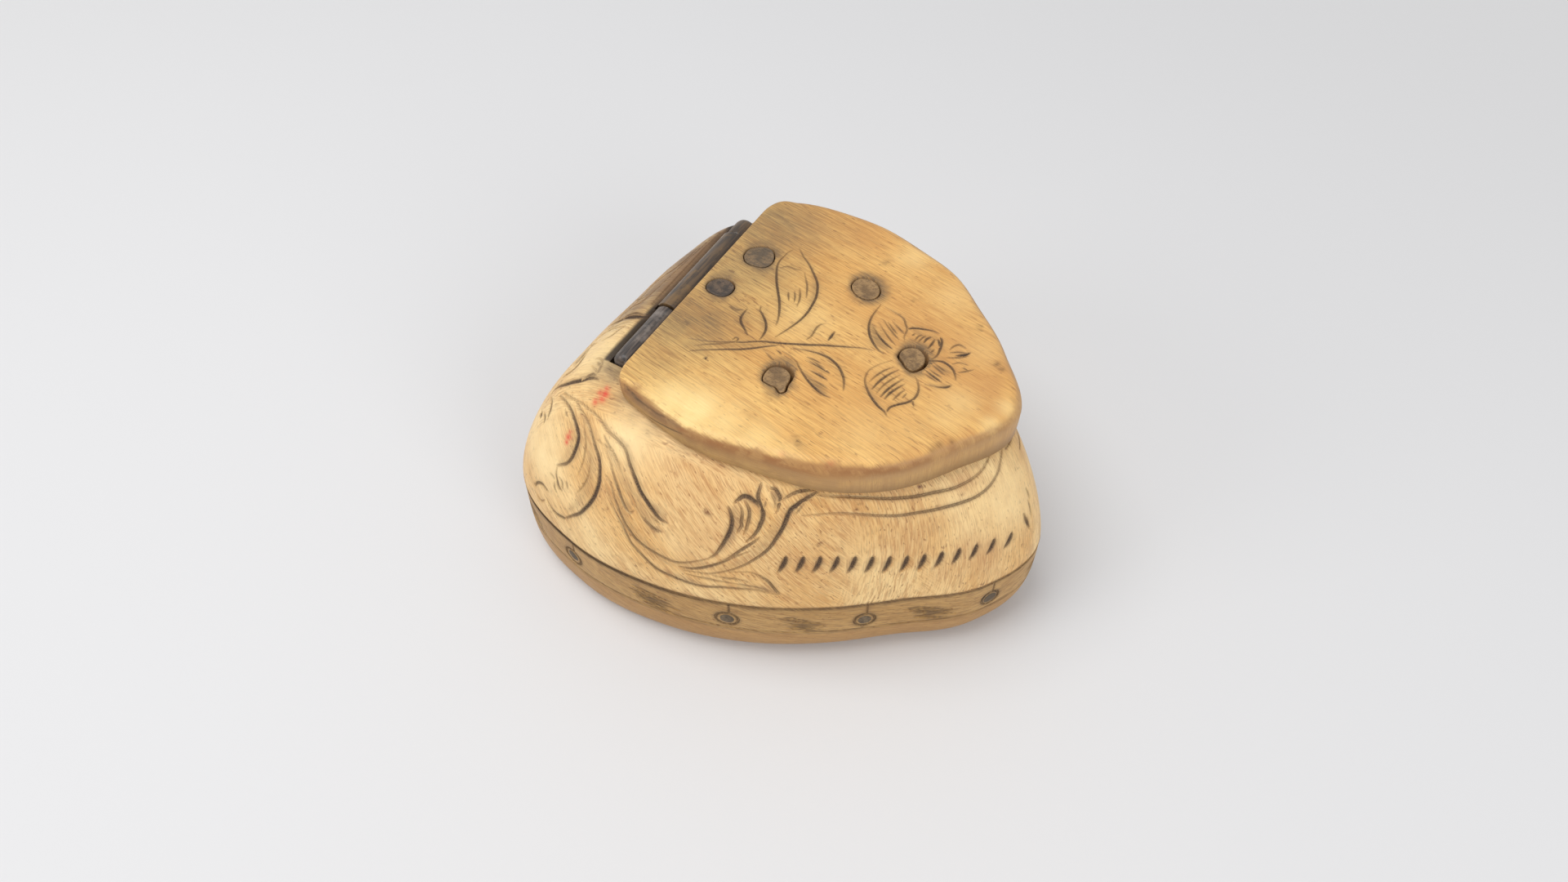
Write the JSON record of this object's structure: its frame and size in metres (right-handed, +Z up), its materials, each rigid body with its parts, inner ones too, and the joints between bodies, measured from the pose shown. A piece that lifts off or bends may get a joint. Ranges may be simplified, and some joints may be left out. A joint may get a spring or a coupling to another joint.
{
  "type": "snuff box",
  "caption": "Small carved bone or antler snuff box: flaring rounded-triangle body on a pegged base, flat hinged lid with a flower sprig, knuckle hinge and pegs.",
  "frame": {"origin": "middle of the bounding box's underside, on the table", "axes": "+X from the hinge towards the lid's tip, +Y along the hinge, +Z up"},
  "size_m": [0.0754, 0.0655, 0.038],
  "materials": {
    "bone_shell": "carved and rubbed bone, satin, carved with scrolls and a double border",
    "bone_base": "honey-coloured bone, satin, darker under the fine line",
    "bone_lid": "polished bone with brown staining at the hinge and edge",
    "bone_liner": "plain sawn bone",
    "brown_horn": "brown horn, satin",
    "dark_horn": "grey-black horn, satin",
    "lid_peg_bone": "stained bone peg",
    "base_peg_bone": "bone peg"
  },
  "bodies": {
    "box": {"body_shell": "bone_shell", "base_dish": "bone_base", "hinge_knuckle_near": "dark_horn", "hinge_knuckle_far": "dark_horn", "hinge_pin": "dark_horn", "base_peg_1": "base_peg_bone", "base_peg_2": "base_peg_bone", "base_peg_3": "base_peg_bone", "base_peg_4": "base_peg_bone", "base_peg_5": "base_peg_bone", "base_peg_6": "base_peg_bone", "base_peg_7": "base_peg_bone", "base_peg_8": "base_peg_bone", "base_peg_9": "base_peg_bone", "base_peg_10": "base_peg_bone", "base_peg_11": "base_peg_bone"},
    "lid": {"lid_plate": "bone_lid", "lid_liner": "bone_liner", "hinge_strap": "brown_horn", "lid_peg_1": "lid_peg_bone", "lid_peg_2": "lid_peg_bone", "lid_peg_3": "lid_peg_bone", "lid_peg_4": "lid_peg_bone", "lid_peg_5": "lid_peg_bone"}
  },
  "joints": [
    {"name": "lid_hinge", "type": "hinge", "parent": "box", "child": "lid", "pos_m": [-0.02014, 0, 0.0347], "axis": [0, -1, 0], "range_deg": [0, 110]}
  ]
}
